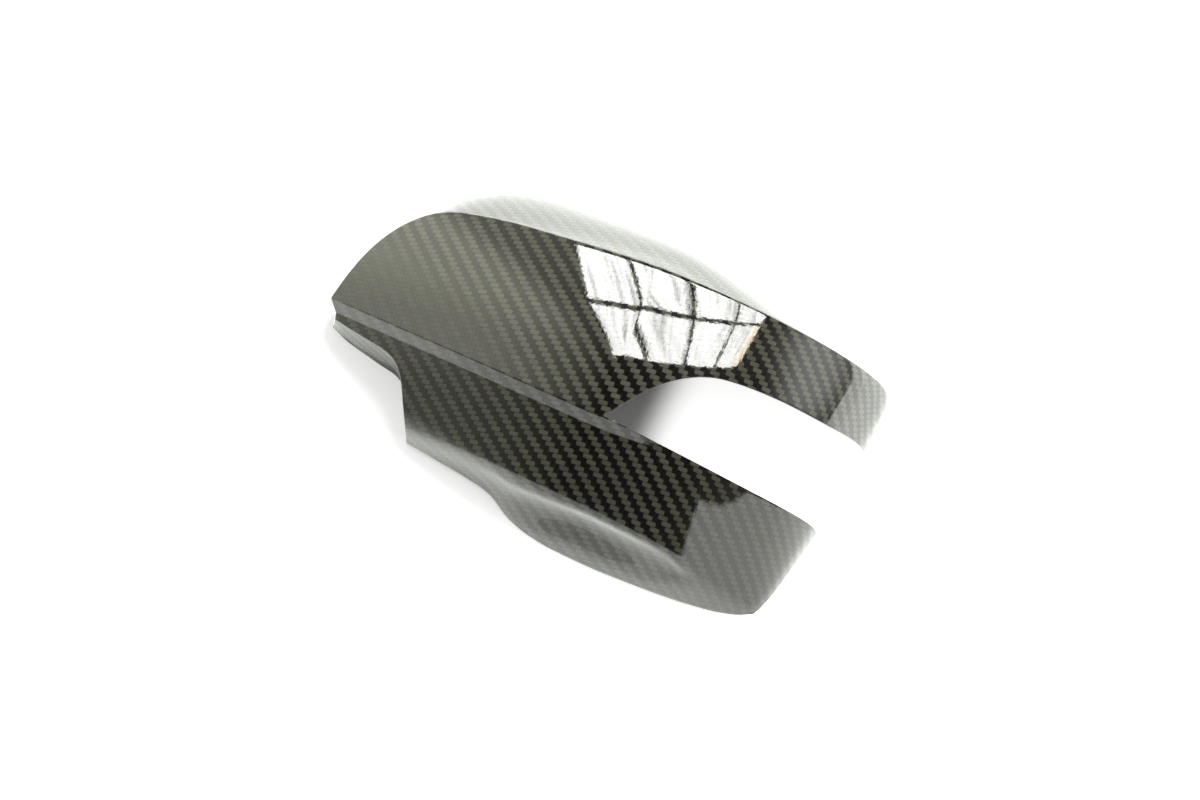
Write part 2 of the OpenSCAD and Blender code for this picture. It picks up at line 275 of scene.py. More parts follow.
fold = SmoothCurve([
    notch_corner,
    mix(notch_corner, fold_dip, 0.45),
    fold_dip,
    (12, fold_y - 0.9),
    (40, fold_y - 2.1),
    (60, fold_y - 3),
    (80, fold_y - 4.6),
    (outboard_reach, fold_y - 5.8),
])
rim_y = fold_y - under_width
rim_corner = notch_corner + vec(0.5, -4.4)
dip_start = vec(-39, fold_y - 6.1)
under_rim = SmoothCurve([
    rim_corner,
    mix(rim_corner, dip_start, 0.42),
    dip_start,
    (-31, fold_y - 7.8),
    (-22, rim_y + 3),
    (-10, rim_y - 0.5),
    (14, rim_y - 2.2),
    (45, rim_y - 1.5),
    (72, rim_y + 0.5),
    (88, rim_y + 3.1),
    (96, rim_y + 5.7),
    (outboard_reach, rim_y + 8.2),
])
roof_split = 0.612
fold_split = 0.44
rim_split = 0.435
turn_share = float(np.linalg.norm(notch_turn - strip_end) / notch.s[-1])
foot_back = 4
foot_step = 3


def arm_share(i):
    return 1 - (1 - (i - tip_station) / (last_station - tip_station)) ** 1.2


def to_corner(i):
    return (i - turn_station) / (corner_station - turn_station)


def to_tip(i):
    return (i - corner_station) / (tip_station - corner_station)


def ledge_at(i):
    if i <= tip_station:
        v = mix(-inboard_reach, slot_tip, i / tip_station)
    else:
        v = mix(slot_tip, outboard_reach, arm_share(i))
    return vec(v, ledge_y(v))


def roof_edge_at(i):
    share = roof_split * i / tip_station if i <= tip_station else mix(roof_split, 1, arm_share(i))
    return roof_edge.at(share)


def panel_foot_at(i):
    return ledge_at(i) if i <= tip_station else slot_edge.at(arm_share(i))


def ledge_foot_at(i):
    v = max(ledge_at(i)[0], foot_back + foot_step * i - inboard_reach)
    return vec(v, ledge_foot_y(v))


def fold_at(i):
    if i <= turn_station:
        return notch.at(turn_share * i / turn_station)
    if i <= corner_station:
        return notch.at(mix(turn_share, 1, to_corner(i)))
    return fold.at(fold_split * to_tip(i) if i <= tip_station else mix(fold_split, 1, arm_share(i)))


def under_rim_at(i):
    return under_rim.at(rim_split * to_tip(i) if i <= tip_station else mix(rim_split, 1, arm_share(i)))


# Roof slope and width along its edge
roof_slopes = table([
    (-inboard_reach, 66), (-inboard_reach + 16, 72), (-inboard_reach + 30, roof_slope + 2),
    (-inboard_reach + 60, roof_slope), (10, roof_slope), (50, roof_slope + 14),
    (80, roof_slope + 35), (outboard_reach, roof_slope + 42),
])
roof_shares = table([
    (-inboard_reach, 0.08), (-inboard_reach + 16, 0.11), (-inboard_reach + 30, 0.6),
    (-inboard_reach + 46, 0.88), (-inboard_reach + 70, 1), (-35, 1), (5, 0.93),
    (30, 0.72), (60, 0.4), (85, 0.15), (outboard_reach, 0.03),
])
swing_start = 60


def crease_inset(lean, slope, inset):
    """How far the crease of an inner skin lies from the outer one, seen from the front."""
    lean = math.degrees(lean)
    return inset * math.sin(math.radians((lean + slope) / 2)) / math.cos(math.radians((slope - lean) / 2))


def turn_left(d):
    return vec(-d[1], d[0]) / math.hypot(d[0], d[1])


def roof_start(i):
    return soft(roof_slopes, roof_edge_at(i)[0])


def roof_out(i):
    return roof_width * soft(roof_shares, roof_edge_at(i)[0])


def roof_normal(i):
    a, b = roof_edge_at(max(0, i - 0.5)), roof_edge_at(min(last_station, i + 0.5))
    n = mix(turn_left(b - a), vec(0, 1), ease((a[0] - swing_start) / (outboard_reach - swing_start)))
    return n / np.linalg.norm(n)


def fold_normal(i):
    at_corner = corner_station <= i <= corner_station + 0.5
    a = fold_at(i if at_corner else max(0, i - 0.5))
    b = fold_at(i + 0.5 if at_corner else min(last_station, i + 0.5))
    return turn_left(b - a)


# The skin at any depth below the outer face
tip_inset = 0.8
ledge_top_inset = 0.55
ledge_foot_inset = 0.7
slot_edge_inset = 0.5
arm_edge_inset = 0.1
wall_slope = 84


def at_tip(i):
    """1 at the inboard tip, fading out over one station."""
    return clamp01(1 - i)


def roof_edge_in(i, inset):
    return roof_edge_at(i) - roof_normal(i) * crease_inset(panel_lean_high, roof_start(i), inset)


def panel_foot_in(i, inset):
    return panel_foot_at(i) + inset * vec(tip_inset * at_tip(i), ledge_top_inset if i <= tip_station else 0)


def ledge_in(i, inset):
    if i <= tip_station:
        return panel_foot_in(i, inset)
    place = ledge_at(i)
    return place + vec(0, inset * mix(arm_edge_inset, slot_edge_inset, ledge_share(place[0])))


def ledge_foot_in(i, inset):
    rise = mix(arm_edge_inset, ledge_foot_inset, ledge_share(ledge_at(i)[0]))
    return ledge_foot_at(i) + inset * vec(tip_inset * at_tip(i), rise)


def past_corner(i):
    return (i - turn_station) / (corner_station - turn_station + 2)


def fold_lean(i):
    """Lean of the lower panel at the fold; it flattens at the outboard rim."""
    return math.degrees(math.atan(math.tan(lower_lean_fold) * max(0.3, fall_outboard(fold_at(i)[0]))))


def side_start(i):
    return mix(wall_slope, fold_lean(i), ease(past_corner(i)))


def fold_in(i, inset):
    shift = fold_normal(i) * crease_inset(lower_lean_fold, side_start(i), inset)
    return fold_at(i) + shift + vec(tip_inset * inset * at_tip(i), 0)


def panel_point(t, i, inset):
    foot = panel_foot_in(i, inset)
    q = foot if i == 0 else mix(roof_edge_in(i, inset), foot, t)
    return vec(x_at(q[0], q[1], inset), q[1], upper_z(q[0], q[1], inset))


def step_z(i, q, inset):
    if i <= tip_station:
        return upper_z(q[0], q[1], inset)
    return upper_z(q[0], ledge_y(q[0]), inset * mix(1, ledge_top_inset, ledge_share(q[0])))


def lower_point(r, i, inset):
    """r runs from 0 on the ledge over 1 at its foot to lower_rows + 1 on the fold."""
    top = ledge_in(i, inset)
    edge = vec(x_at(top[0], top[1], inset), top[1], step_z(i, top, inset))
    if r == 0:
        return edge
    q = mix(ledge_foot_in(i, inset), fold_in(i, inset), max(0.0, r - 1) / lower_rows)
    under = vec(x_at(q[0], q[1], inset), q[1], lower_z(q[0], q[1], inset))
    return under if r >= 1 else mix(edge, under, r)


# Side wall: k runs along the roof edge from the outboard end, round the tip, and back along the fold
notch_turn_share = 0.5
under_turn_share = 0.35
tip_lean = 5
lift_start = -35
lift_run = 15
joggle_rows = [0, 0.15, 0.3, 0.45, 0.57, 0.62, 0.75, 0.88, 1]
joggle_place = 0.6
joggle_run = 3
scoop_start = -36
scoop_end = 68
scoop_top = table([(-36, 0.5), (-15, 0.3), (10, 0.2), (50, 0.18), (68, 0.4)])
scoop_foot = table([(-36, 0.95), (-10, 0.9), (12, 0.8), (50, 0.85), (68, 0.6)])
scoop_in = 0.9
scoop_down = 0.4


def side_top(k, inset):
    if k <= last_station:
        return panel_point(0, last_station - k, inset)
    if k <= first_fold:
        return lower_point(k - last_station, 0, inset)
    return lower_point(lower_rows + 1, k - first_fold, inset)


def side_inward(k):
    if k <= last_station:
        return -roof_normal(last_station - k)
    return vec(1, 0) if k <= first_fold else fold_normal(k - first_fold)


def side_slope(k):
    if k <= last_station:
        return roof_start(last_station - k)
    return wall_slope if k <= first_fold else side_start(k - first_fold)


def side_turn(k):
    if k <= last_station:
        return 1.0
    return mix(notch_turn_share, under_turn_share, ease(to_corner(k - first_fold)))


def lean_at(i):
    return notch_lean * mix(1, 0.2, ease(past_corner(i + 3)))


def flat_point(q, inset, z):
    return vec(x_at(q[0], q[1], inset), q[1], z)


def tip_foot(inset):
    """Foot of the side wall at the inboard tip, on the notch's side."""
    return fold_at(0) + vec(inset - tip_lean, inset)


def side_rim(k, inset):
    if k < last_station:
        i = last_station - k
        return flat_point(roof_edge_at(i) + roof_normal(i) * (roof_out(i) - inset), inset, 0)
    if k <= first_fold:
        above = roof_edge_at(0) + vec(inset - roof_out(0), 0.5 * inset)
        share = (k - last_station) / (first_fold - last_station)
        return flat_point(mix(above, tip_foot(inset), share), inset, 0)
    i = k - first_fold
    if i < corner_station:
        q = fold_at(i) - fold_normal(i) * (lean_at(i) - inset)
        if i < 1:
            q = mix(tip_foot(inset), fold_at(1) - fold_normal(1) * (lean_at(1) - inset), i)
        return flat_point(q, inset, 0)
    q = under_rim_at(i) + fold_normal(i) * inset
    lift = rim_lift * ease((i - corner_station + 1) / 2) * (1 - ease((q[0] - lift_start) / lift_run))
    return flat_point(q, inset, lift)


def joggle_share(k):
    if k <= last_station:
        return clamp01((k - last_station + joggle_run) / joggle_run)
    return 1 - clamp01(to_corner(k - first_fold))


def scoop_place(k):
    return scoop_start if k <= first_fold + corner_station else fold_at(k - first_fold)[0]


def scoop_share(k):
    u = (scoop_place(k) - scoop_start) / (scoop_end - scoop_start)
    return 0.0 if u <= 0 or u >= 1 else math.sin(math.pi * u) ** 0.7


def row_share(k, r):
    even = r / side_rows
    top, foot = scoop_top(scoop_place(k)), scoop_foot(scoop_place(k))
    stepped = float(np.interp(r, range(side_rows + 1), joggle_rows))
    hollow = float(np.interp(r, (0, 2, 6, 8), (0, top, foot, 1)))
    return even + (stepped - even) * joggle_share(k) + (hollow - even) * ease(3 * scoop_share(k))


def hollow_at(k, t):
    top, foot = scoop_top(scoop_place(k)), scoop_foot(scoop_place(k))
    u = (t - top) / (foot - top)
    return 0.0 if u <= 0 or u >= 1 else scoop_depth * scoop_share(k) * math.sin(math.pi * u)


def side_point(r, k, inset):
    a, b, c = side_top(k, inset), side_rim(k, inset), side_turn(k)
    h = math.hypot(b[0] - a[0], b[1] - a[1])
    drop = max(a[2] - c * h * math.tan(math.radians(side_slope(k))), mix(b[2], a[2], 0.2))
    m = vec(mix(a[0], b[0], c), mix(a[1], b[1], c), drop)
    t, n = row_share(k, r), side_inward(k)
    step = joggle * joggle_share(k) if t > joggle_place else 0
    dent = hollow_at(k, t)
    inward = step + scoop_in * dent
    curve = (1 - t) ** 2 * a + 2 * t * (1 - t) * m + t * t * b
    return curve + vec(n[0] * inward, n[1] * inward, -scoop_down * dent)


# Loops of the mesh. Stations close to a corner hold it; the rest follow the solid's own stations.
corner_hold = 0.22
stations = sorted(
    set(range(last_station + 1))
    | {corner_hold, corner_station - corner_hold, corner_station + corner_hold}
    | {tip_station - corner_hold, tip_station + corner_hold}
)
panel_loops = 10
panel_rows = panel_loops + 2
lower_loops = (0, 0.18, 0.82, 1, 1.22, 2, 3, 4, 5, 6, 6.78, 7)
side_loops = (0, 0.22, 1, 2, 3, 4, 4.5, 5, 6, 7, 8)
last_side = len(side_loops) - 1


def panel_shares(i):
    """Shares of the panel's width, with a loop close to each crease."""
    width = np.linalg.norm(roof_edge_at(i) - panel_foot_at(i))
    hold = min(crease_hold / max(width, 1e-6), 0.5 / panel_loops)
    even = np.linspace(0, 1, panel_loops)
    return [0, hold, *even[1:-1], 1 - hold, 1]


# Cloth coordinates: the weave runs level over the front and follows the skin down the side wall.
# Its length is measured along one level line of the upper panel.
cloth_line = 20
arc_v = np.linspace(-inboard_reach, outboard_reach * 0.9995, 600)
arc_x = np.array([x_at(v, cloth_line, 0) for v in arc_v])
arc_z = np.array([upper_z(v, cloth_line, 0) for v in arc_v])
arc_s = np.concatenate([[0], np.cumsum(np.hypot(np.diff(arc_x), np.diff(arc_z)))])
arc_s -= np.interp(0, arc_x, arc_s)


def cloth_u(x):
    beyond = x - arc_x[-1]
    return float(np.interp(x, arc_x, arc_s)) + max(0.0, beyond)


def panel_cloth(p):
    return vec(cloth_u(p[0]), p[1])


def lower_cloth(r, p, i):
    ledge = ledge_at(i)
    step = math.hypot(ledge_run + ledge_margin, ledge_depth) * ledge_share(ledge[0])
    if r <= 1:
        return vec(cloth_u(p[0]), ledge[1] - r * step)
    return vec(cloth_u(p[0]), ledge[1] - step - (ledge_foot_at(i)[1] - p[1]) / math.cos(lower_lean))


def side_columns():
    """(k, row of the lower panel at the tip or None, station or None) for each column of the side wall."""
    roof = [(last_station - i, None, i) for i in reversed(stations)]
    tip = [(last_station + r, r, 0) for r in lower_loops[1:]]
    foot = [(first_fold + i, None, i) for i in stations[1:]]
    return roof + tip + foot


columns = side_columns()
column_places = [k for k, _, _ in columns]


def skin(inset, points, cloth):
    """Add the points of one skin with their places on the cloth, and return its grids of point numbers."""
    panel, lower, side = {}, {}, {}

    def add(p, c):
        points.append(p)
        cloth.append(c)
        return len(points) - 1

    tip_id = add(panel_point(1, 0, inset), panel_cloth(panel_point(1, 0, 0)))
    for i in stations:
        for r, t in enumerate(panel_shares(i)):
            if i == 0:
                panel[r, i] = tip_id
            else:
                panel[r, i] = add(panel_point(t, i, inset), panel_cloth(panel_point(t, i, 0)))
        for r in lower_loops:
            if r == 0 and i <= tip_station:
                lower[r, i] = panel[panel_rows - 1, i]
            else:
                lower[r, i] = add(lower_point(r, i, inset), lower_cloth(r, lower_point(r, i, 0), i))
    for k, r, i in columns:
        if r is not None:
            start = lower[r, 0]
        elif k <= last_station:
            start = panel[0, i]
        else:
            start = lower[lower_loops[-1], i]
        side[0, k] = start
        away, before, run = -side_inward(k), side_point(0, k, 0), 0.0
        for n, row in enumerate(side_loops[1:], 1):
            place = side_point(row, k, 0)
            run += float(np.linalg.norm(place - before))
            before = place
            side[n, k] = add(side_point(row, k, inset), cloth[start] + away * run)
    return panel, lower, side


def skin_faces(grids):
    """Faces of one skin, turned to the inside of the cover. Where points meet, a face has three corners."""
    panel, lower, side = grids
    sheet = []
    for a, b in zip(stations, stations[1:]):
        for r in range(panel_rows - 1):
            sheet.append((panel[r, a], panel[r, b], panel[r + 1, b], panel[r + 1, a]))
        for r, s in zip(lower_loops, lower_loops[1:]):
            sheet.append((lower[r, a], lower[r, b], lower[s, b], lower[s, a]))
    for a, b in zip(column_places, column_places[1:]):
        for r in range(last_side):
            sheet.append((side[r, a], side[r, b], side[r + 1, b], side[r + 1, a]))
    kept = [[a for n, a in enumerate(ids) if a != ids[n - 1]] for ids in sheet]
    return [ids for ids in kept if len(ids) > 2]


def edge_loop(grids):
    """The trimmed edge of one skin: once round the rim, the arm ends and the slot."""
    panel, lower, side = grids
    end, first, last = last_station, column_places[0], column_places[-1]
    arm = [i for i in stations if i > tip_station]
    return (
        [side[last_side, k] for k in column_places]
        + [side[r, last] for r in range(last_side - 1, 0, -1)]
        + [lower[r, end] for r in reversed(lower_loops)]
        + [lower[0, i] for i in reversed(arm[:-1])]
        + [panel[panel_rows - 1, tip_station]]
        + [panel[panel_rows - 1, i] for i in arm]
        + [panel[r, end] for r in range(panel_rows - 2, -1, -1)]
        + [side[r, first] for r in range(1, last_side)]
    )


def shell_mesh():
    """Outer and inner skin of the laminate with the edge that joins them, as one closed mesh."""
    points, cloth = [], []
    outer, inner = skin(0.0, points, cloth), skin(wall, points, cloth)
    faces = [ids[::-1] for ids in skin_faces(outer)]
    inner_start = len(faces)
    faces += skin_faces(inner)
    cut = len(faces)
    outer_edge, inner_edge = edge_loop(outer), edge_loop(inner)
    for n in range(len(outer_edge)):
        m = (n + 1) % len(outer_edge)
        faces.append((outer_edge[m], outer_edge[n], inner_edge[n], inner_edge[m]))
    return np.array(points), np.array(cloth), faces, inner_start, cut, outer_edge, inner_edge


# Smoothing between the rows, and the arris on the trimmed edge
smooth_levels = 2
arris = 0.4 * MM
arris_segments = 2
arris_angle = math.radians(50)


def shell_piece():
    """The cover as one piece, smoothed, with its edge softened and its cloth map on it."""
    points, cloth, faces, inner_start, cut, outer_edge, inner_edge = shell_mesh()
    points = (points - vec(*shell_centre, 0)) * MM
    mesh = bpy.data.meshes.new("carbon_shell")
    mesh.from_pydata([tuple(p) for p in points], [], [tuple(f) for f in faces])
    mesh.update()
    uv = mesh.uv_layers.new(name="cloth")
    for loop in mesh.loops:
        uv.data[loop.index].uv = cloth[loop.vertex_index] * MM
    crease = mesh.attributes.new("crease_edge", "FLOAT", "EDGE")
    rims = set()
    for loop_ids in (outer_edge, inner_edge):
        rims |= {frozenset(pair) for pair in zip(loop_ids, loop_ids[1:] + loop_ids[:1])}
    for edge in mesh.edges:
        if frozenset(edge.vertices) in rims:
            crease.data[edge.index].value = 1.0
    for polygon in mesh.polygons:
        polygon.use_smooth = True
        polygon.material_index = int(polygon.index >= inner_start) + int(polygon.index >= cut)
    shell = bpy.data.objects.new("carbon_shell", mesh)
    bpy.context.scene.collection.objects.link(shell)
    smooth = shell.modifiers.new("smooth", "SUBSURF")
    smooth.levels = smooth.render_levels = smooth_levels
    smooth.uv_smooth = "PRESERVE_BOUNDARIES"
    trim = shell.modifiers.new("trim", "BEVEL")
    trim.width = arris
    trim.segments = arris_segments
    trim.limit_method = "ANGLE"
    trim.angle_limit = arris_angle
    depsgraph = bpy.context.evaluated_depsgraph_get()
    final = bpy.data.meshes.new_from_object(shell.evaluated_get(depsgraph))
    shell.modifiers.clear()
    shell.data = final
    keep_inside(final)
    return shell


def keep_inside(mesh):
    """Bring any side that stands proud of the solid's box back to it."""
    box = [np.array(corner, float) for corner in cad_box]
    places = np.empty(len(mesh.vertices) * 3, np.float32)
    mesh.vertices.foreach_get("co", places)
    places = places.reshape(-1, 3)
    for axis in range(3):
        low, high = float(places[:, axis].min()), float(places[:, axis].max())
        goal_low, goal_high = max(low, box[0][axis] + hair), min(high, box[1][axis] - hair)
        places[:, axis] = goal_low + (places[:, axis] - low) * (goal_high - goal_low) / (high - low)
    mesh.vertices.foreach_set("co", places.ravel())
    mesh.update()


class Nodes:
    """Short calls for building a node tree."""

    def __init__(self, tree):
        self.tree = tree
        self.links = tree.links

    def add(self, kind, **settings):
        node = self.tree.nodes.new(kind)
        for name, value in settings.items():
            setattr(node, name, value)
        return node

    def feed(self, socket, value):
        if isinstance(value, bpy.types.NodeSocket):
            self.links.new(value, socket)
        else:
            socket.default_value = value

    def math(self, operation, *values):
        node = self.add("ShaderNodeMath", operation=operation)
        for n, value in enumerate(values):
            self.feed(node.inputs[n], value)
        return node.outputs[0]

    def product(self, *values):
        total = values[0]
        for value in values[1:]:
            total = self.math("MULTIPLY", total, value)
        return total

    def split(self, vector):
        node = self.add("ShaderNodeSeparateXYZ")
        self.feed(node.inputs[0], vector)
        return node.outputs

    def join(self, x, y, z=0.0):
        node = self.add("ShaderNodeCombineXYZ")
        for n, value in enumerate((x, y, z)):
            self.feed(node.inputs[n], value)
        return node.outputs[0]

    def blend(self, share, a, b):
        """Colour a where the share is 0, and b where it is 1."""
        node = self.add("ShaderNodeMix", data_type="RGBA")
        self.feed(node.inputs[0], share)
        self.feed(node.inputs[6], a)
        self.feed(node.inputs[7], b)
        return node.outputs[2]

    def blend_value(self, share, a, b):
        node = self.add("ShaderNodeMix", data_type="FLOAT")
        self.feed(node.inputs[0], share)
        self.feed(node.inputs[2], a)
        self.feed(node.inputs[3], b)
        return node.outputs[0]

    def ramp(self, value, start, end, low=0.0, high=1.0):
        """Soft step from low, where the value is at the start, to high, where it is at the end."""
        node = self.add("ShaderNodeMapRange", interpolation_type="SMOOTHSTEP")
        self.feed(node.inputs["Value"], value)
        for name, number in (("From Min", start), ("From Max", end), ("To Min", low), ("To Max", high)):
            node.inputs[name].default_value = number
        return node.outputs[0]

    def length(self, vector):
        node = self.add("ShaderNodeVectorMath", operation="LENGTH")
        self.feed(node.inputs[0], vector)
        return node.outputs["Value"]

    def noise(self, vector, scale, detail=2.0, roughness=0.5):
        node = self.add("ShaderNodeTexNoise")
        self.feed(node.inputs["Vector"], vector)
        node.inputs["Scale"].default_value = scale
        node.inputs["Detail"].default_value = detail
        node.inputs["Roughness"].default_value = roughness
        return node.outputs[0]

    def bump(self, strength, distance, height, normal=None):
        node = self.add("ShaderNodeBump")
        self.feed(node.inputs["Strength"], strength)
        self.feed(node.inputs["Distance"], distance)
        self.feed(node.inputs["Height"], height)
        if normal is not None:
            self.feed(node.inputs["Normal"], normal)
        return node.outputs[0]

    def matt(self, color):
        node = self.add("ShaderNodeBsdfDiffuse")
        self.feed(node.inputs["Color"], color)
        return node.outputs[0]

    def glow(self, color, strength):
        node = self.add("ShaderNodeEmission")
        self.feed(node.inputs["Color"], color)
        self.feed(node.inputs["Strength"], strength)
        return node.outputs[0]

    def sum_of(self, a, b):
        node = self.add("ShaderNodeAddShader")
        self.feed(node.inputs[0], a)
        self.feed(node.inputs[1], b)
        return node.outputs[0]

    def choose(self, share, a, b):
        """Shader a where the share is 0, and b where it is 1."""
        node = self.add("ShaderNodeMixShader")
        for socket, value in zip(node.inputs, (share, a, b)):
            self.feed(socket, value)
        return node.outputs[0]

    def show(self, shader):
        self.feed(self.add("ShaderNodeOutputMaterial").inputs[0], shader)


def empty_material(name):
    material = bpy.data.materials.new(name)
    material.use_nodes = True
    material.node_tree.nodes.clear()
    return material, Nodes(material.node_tree)


def solid_material(name):
    material, n = empty_material(name)
    shader = n.add("ShaderNodeBsdfPrincipled")
    n.show(shader.outputs[0])
    return material, n, shader


# Cloth: width of a tow, turn of the weave, colours, fibre lines to a tow, and height of the tows
tow = 2.03 * MM
weave_turn = math.radians(-5.5)
warp_color = (0.008, 0.008, 0.007, 1)
# The weft is lighter than the warp by painted sheen: both are the same dark carbon, and the weft is the one
# that catches the light
weft_sheen_color = (0.120, 0.116, 0.086, 1)
gap_color = (0.010, 0.010, 0.008, 1)
# Colour of the painted sheen where warp and weft shine alike
painted_sheen_color = (0.060, 0.058, 0.044, 1)
fibre_lines = 14.0
fibre_drift = 0.5
relief = 0.12 * MM
# Resin: refraction, how deep the weave prints through it, and its own ripple
resin_index = 1.5
print_depth = 0.0015 * MM
ripple_depth = 0.009 * MM
ripple_scale = 620.0


def twill(n):
    """Twill of 2 by 2 on the cloth's own map: each tow passes over two and under two."""
    place = n.add("ShaderNodeMapping", vector_type="POINT")
    place.inputs["Rotation"].default_value = (0, 0, weave_turn)
    place.inputs["Scale"].default_value = (1 / tow, 1 / tow, 1)
    n.feed(place.inputs["Vector"], n.add("ShaderNodeUVMap", uv_map="cloth").outputs[0])
    across, along, _ = n.split(place.outputs[0])
    warp_index, weft_index = n.math("FLOOR", across), n.math("FLOOR", along)
    warp_place, weft_place = n.math("FRACT", across), n.math("FRACT", along)
    phase = n.math("FLOORED_MODULO", n.math("ADD", warp_index, weft_index), 4.0)
    warp_up = n.math("LESS_THAN", phase, 1.5)
    # Place across the tow from edge to edge, and along its float from end to end
    over_warp = n.math("ADD", phase, weft_place)
    over_weft = n.math("ADD", n.math("SUBTRACT", phase, 2.0), warp_place)
    side = n.blend_value(warp_up, weft_place, warp_place)
    run = n.product(n.blend_value(warp_up, over_weft, over_warp), 0.5)
    side_round = n.math("SINE", n.product(side, math.pi))
    run_round = n.math("SINE", n.product(run, math.pi))
    swell = n.product(n.math("POWER", n.math("MAXIMUM", side_round, 0.0), 0.4),
                      n.math("POWER", n.math("MAXIMUM", run_round, 0.0), 0.3))
    # Fibres: fine lines along each tow
    warp_lines = n.noise(n.join(n.product(across, fibre_lines), n.product(along, fibre_drift)), 1.0)
    weft_lines = n.noise(n.join(n.product(across, fibre_drift), n.product(along, fibre_lines)), 1.0)
    lines = n.blend_value(warp_up, weft_lines, warp_lines)
    # Each float is a little lighter or darker than the next
    warp_start = n.math("SUBTRACT", weft_index, phase)
    weft_start = n.math("SUBTRACT", warp_index, phase)
    white = n.add("ShaderNodeTexWhiteNoise", noise_dimensions="3D")
    n.feed(white.inputs["Vector"], n.join(n.blend_value(warp_up, weft_start, warp_index),
                                          n.blend_value(warp_up, weft_index, warp_start), warp_up))
    tone = n.math("MULTIPLY_ADD", white.outputs[0], 0.25, 0.875)
    tone = n.product(tone, n.math("MULTIPLY_ADD", lines, 0.7, 0.65))
    return warp_up, swell, lines, tone


def painted_sheen_share(n, x, y, roofward, upward):
    """Where a painted sheen evens out warp and weft, because both directions of fibre shine nearly alike
    there, by place on the cover and by the way it faces.
    """
    # Low on the inboard half, most of all on the upper panel
    low = n.math("MULTIPLY_ADD", x, 0.35, y)
    inboard = n.product(n.ramp(low, -0.008, -0.034), n.ramp(x, 0.0, -0.05, 0, 0.85))
    inboard = n.product(inboard, n.ramp(roofward, -0.4, -0.3, 0.4, 1))
    # At the end of the lower arm
    arm_end = n.product(n.ramp(x, 0.05, 0.085, 0, 0.5), n.ramp(y, 0.0, -0.02))
    return n.product(n.math("ADD", inboard, arm_end), n.ramp(upward, 0.1, 0.3))


def carbon_material(name, coat, coat_roughness):
    """Carbon cloth under a coat of resin."""
    material, n, shader = solid_material(name)
    warp_up, swell, lines, tone = twill(n)
    spot = n.add("ShaderNodeTexCoord").outputs["Object"]
    x, y, _ = n.split(spot)
    _, roofward, upward = n.split(n.add("ShaderNodeNewGeometry").outputs["Normal"])
    # Weft in its painted sheen, warp in the carbon's own dark
    fibre = n.blend(warp_up, weft_sheen_color, warp_color)
    # Painted sheen: warp and weft take one even colour where both shine alike
    fibre = n.blend(painted_sheen_share(n, x, y, roofward, upward), fibre, painted_sheen_color)
    toned = n.add("ShaderNodeVectorMath", operation="SCALE")
    n.feed(toned.inputs[0], fibre)
    n.feed(toned.inputs["Scale"], tone)
    filled = n.ramp(swell, 0.1, 0.62)
    n.feed(shader.inputs["Base Color"], n.blend(filled, gap_color, toned.outputs[0]))
    n.feed(shader.inputs["Normal"], n.bump(0.5, relief, n.math("MULTIPLY_ADD", lines, 0.2, swell)))
    # Faint ripple of the poured coat on the front, through which the weave prints a little
    on_face = n.ramp(upward, 0.55, 0.85, 0.05, 1)
    print_through = n.bump(on_face, print_depth, n.math("MULTIPLY_ADD", lines, 0.5, swell))
    ripple = n.noise(spot, ripple_scale, 2.0, 0.6)
    n.feed(shader.inputs["Coat Normal"], n.bump(on_face, ripple_depth, ripple, print_through))
    # Fibres throw light across their length, so warp and weft shine from different sides
    along_weft = n.add("ShaderNodeTangent", direction_type="UV_MAP", uv_map="cloth")
    n.feed(shader.inputs["Tangent"], along_weft.outputs[0])
    n.feed(shader.inputs["Anisotropic Rotation"], n.blend_value(warp_up, 0.25, 0.0))
    for socket, value in (
        ("Anisotropic", 0.85), ("Roughness", 0.42), ("Specular IOR Level", 0.05),
        ("Coat Weight", coat), ("Coat Roughness", coat_roughness), ("Coat IOR", resin_index),
    ):
        shader.inputs[socket].default_value = value
    return material


dark_layer = (0.035, 0.035, 0.032, 1)
light_layer = (0.12, 0.12, 0.11, 1)
layer_scale = 2600.0


def edge_material():
    """The trimmed edge of the laminate, where the cut layers show under clear resin."""
    material, n, shader = solid_material("trimmed_edge")
    spot = n.add("ShaderNodeTexCoord").outputs["Object"]
    layers = n.noise(spot, layer_scale, 2.0, 0.6)
    n.feed(shader.inputs["Base Color"], n.blend(layers, dark_layer, light_layer))
    n.feed(shader.inputs["Roughness"], n.math("MULTIPLY_ADD", layers, 0.2, 0.3))
    return material


# Table: its half size, the half sizes of the oval that the cover stands on, and its colours
table_half = 3.0
oval_x = 0.12
oval_y = 0.075
table_white = (0.95, 0.95, 0.95, 1)
# Colour of the painted shadow on the table under the cover
table_painted_shadow = (0.1, 0.1, 0.1, 1)
table_gloss = (0.97, 1.0, 0.94, 1)


def table_level(n, spot, x, y, footprint):
    """How bright the table is in the gloss: brighter on the roof side, with painted shade dark under the
    cover and dim at the tip.
    """
    roof_side = n.product(n.ramp(y, 0.12, 0.6, 0, 3.4), n.ramp(x, 0.25, 0.05))
    outboard_side = n.product(n.ramp(x, 0.1, 0.2), n.ramp(y, -0.05, 0.03))
    level = n.math("ADD", n.ramp(y, -0.05, 0.12, 3.4, 4.6), roof_side)
    level = n.math("ADD", level, outboard_side)
    at_tip = n.product(n.ramp(x, -0.06, -0.11), n.ramp(y, 0.07, 0.03), n.ramp(n.length(spot), 0.17, 0.14))
    dimmed = n.math("MULTIPLY_ADD", at_tip, -0.55, 1.0)
    far_front = n.ramp(y, -0.3, -0.9, 1, 0.75)
    return n.product(level, dimmed, far_front, n.ramp(footprint, 0.8, 1.05, 0.08, 1))


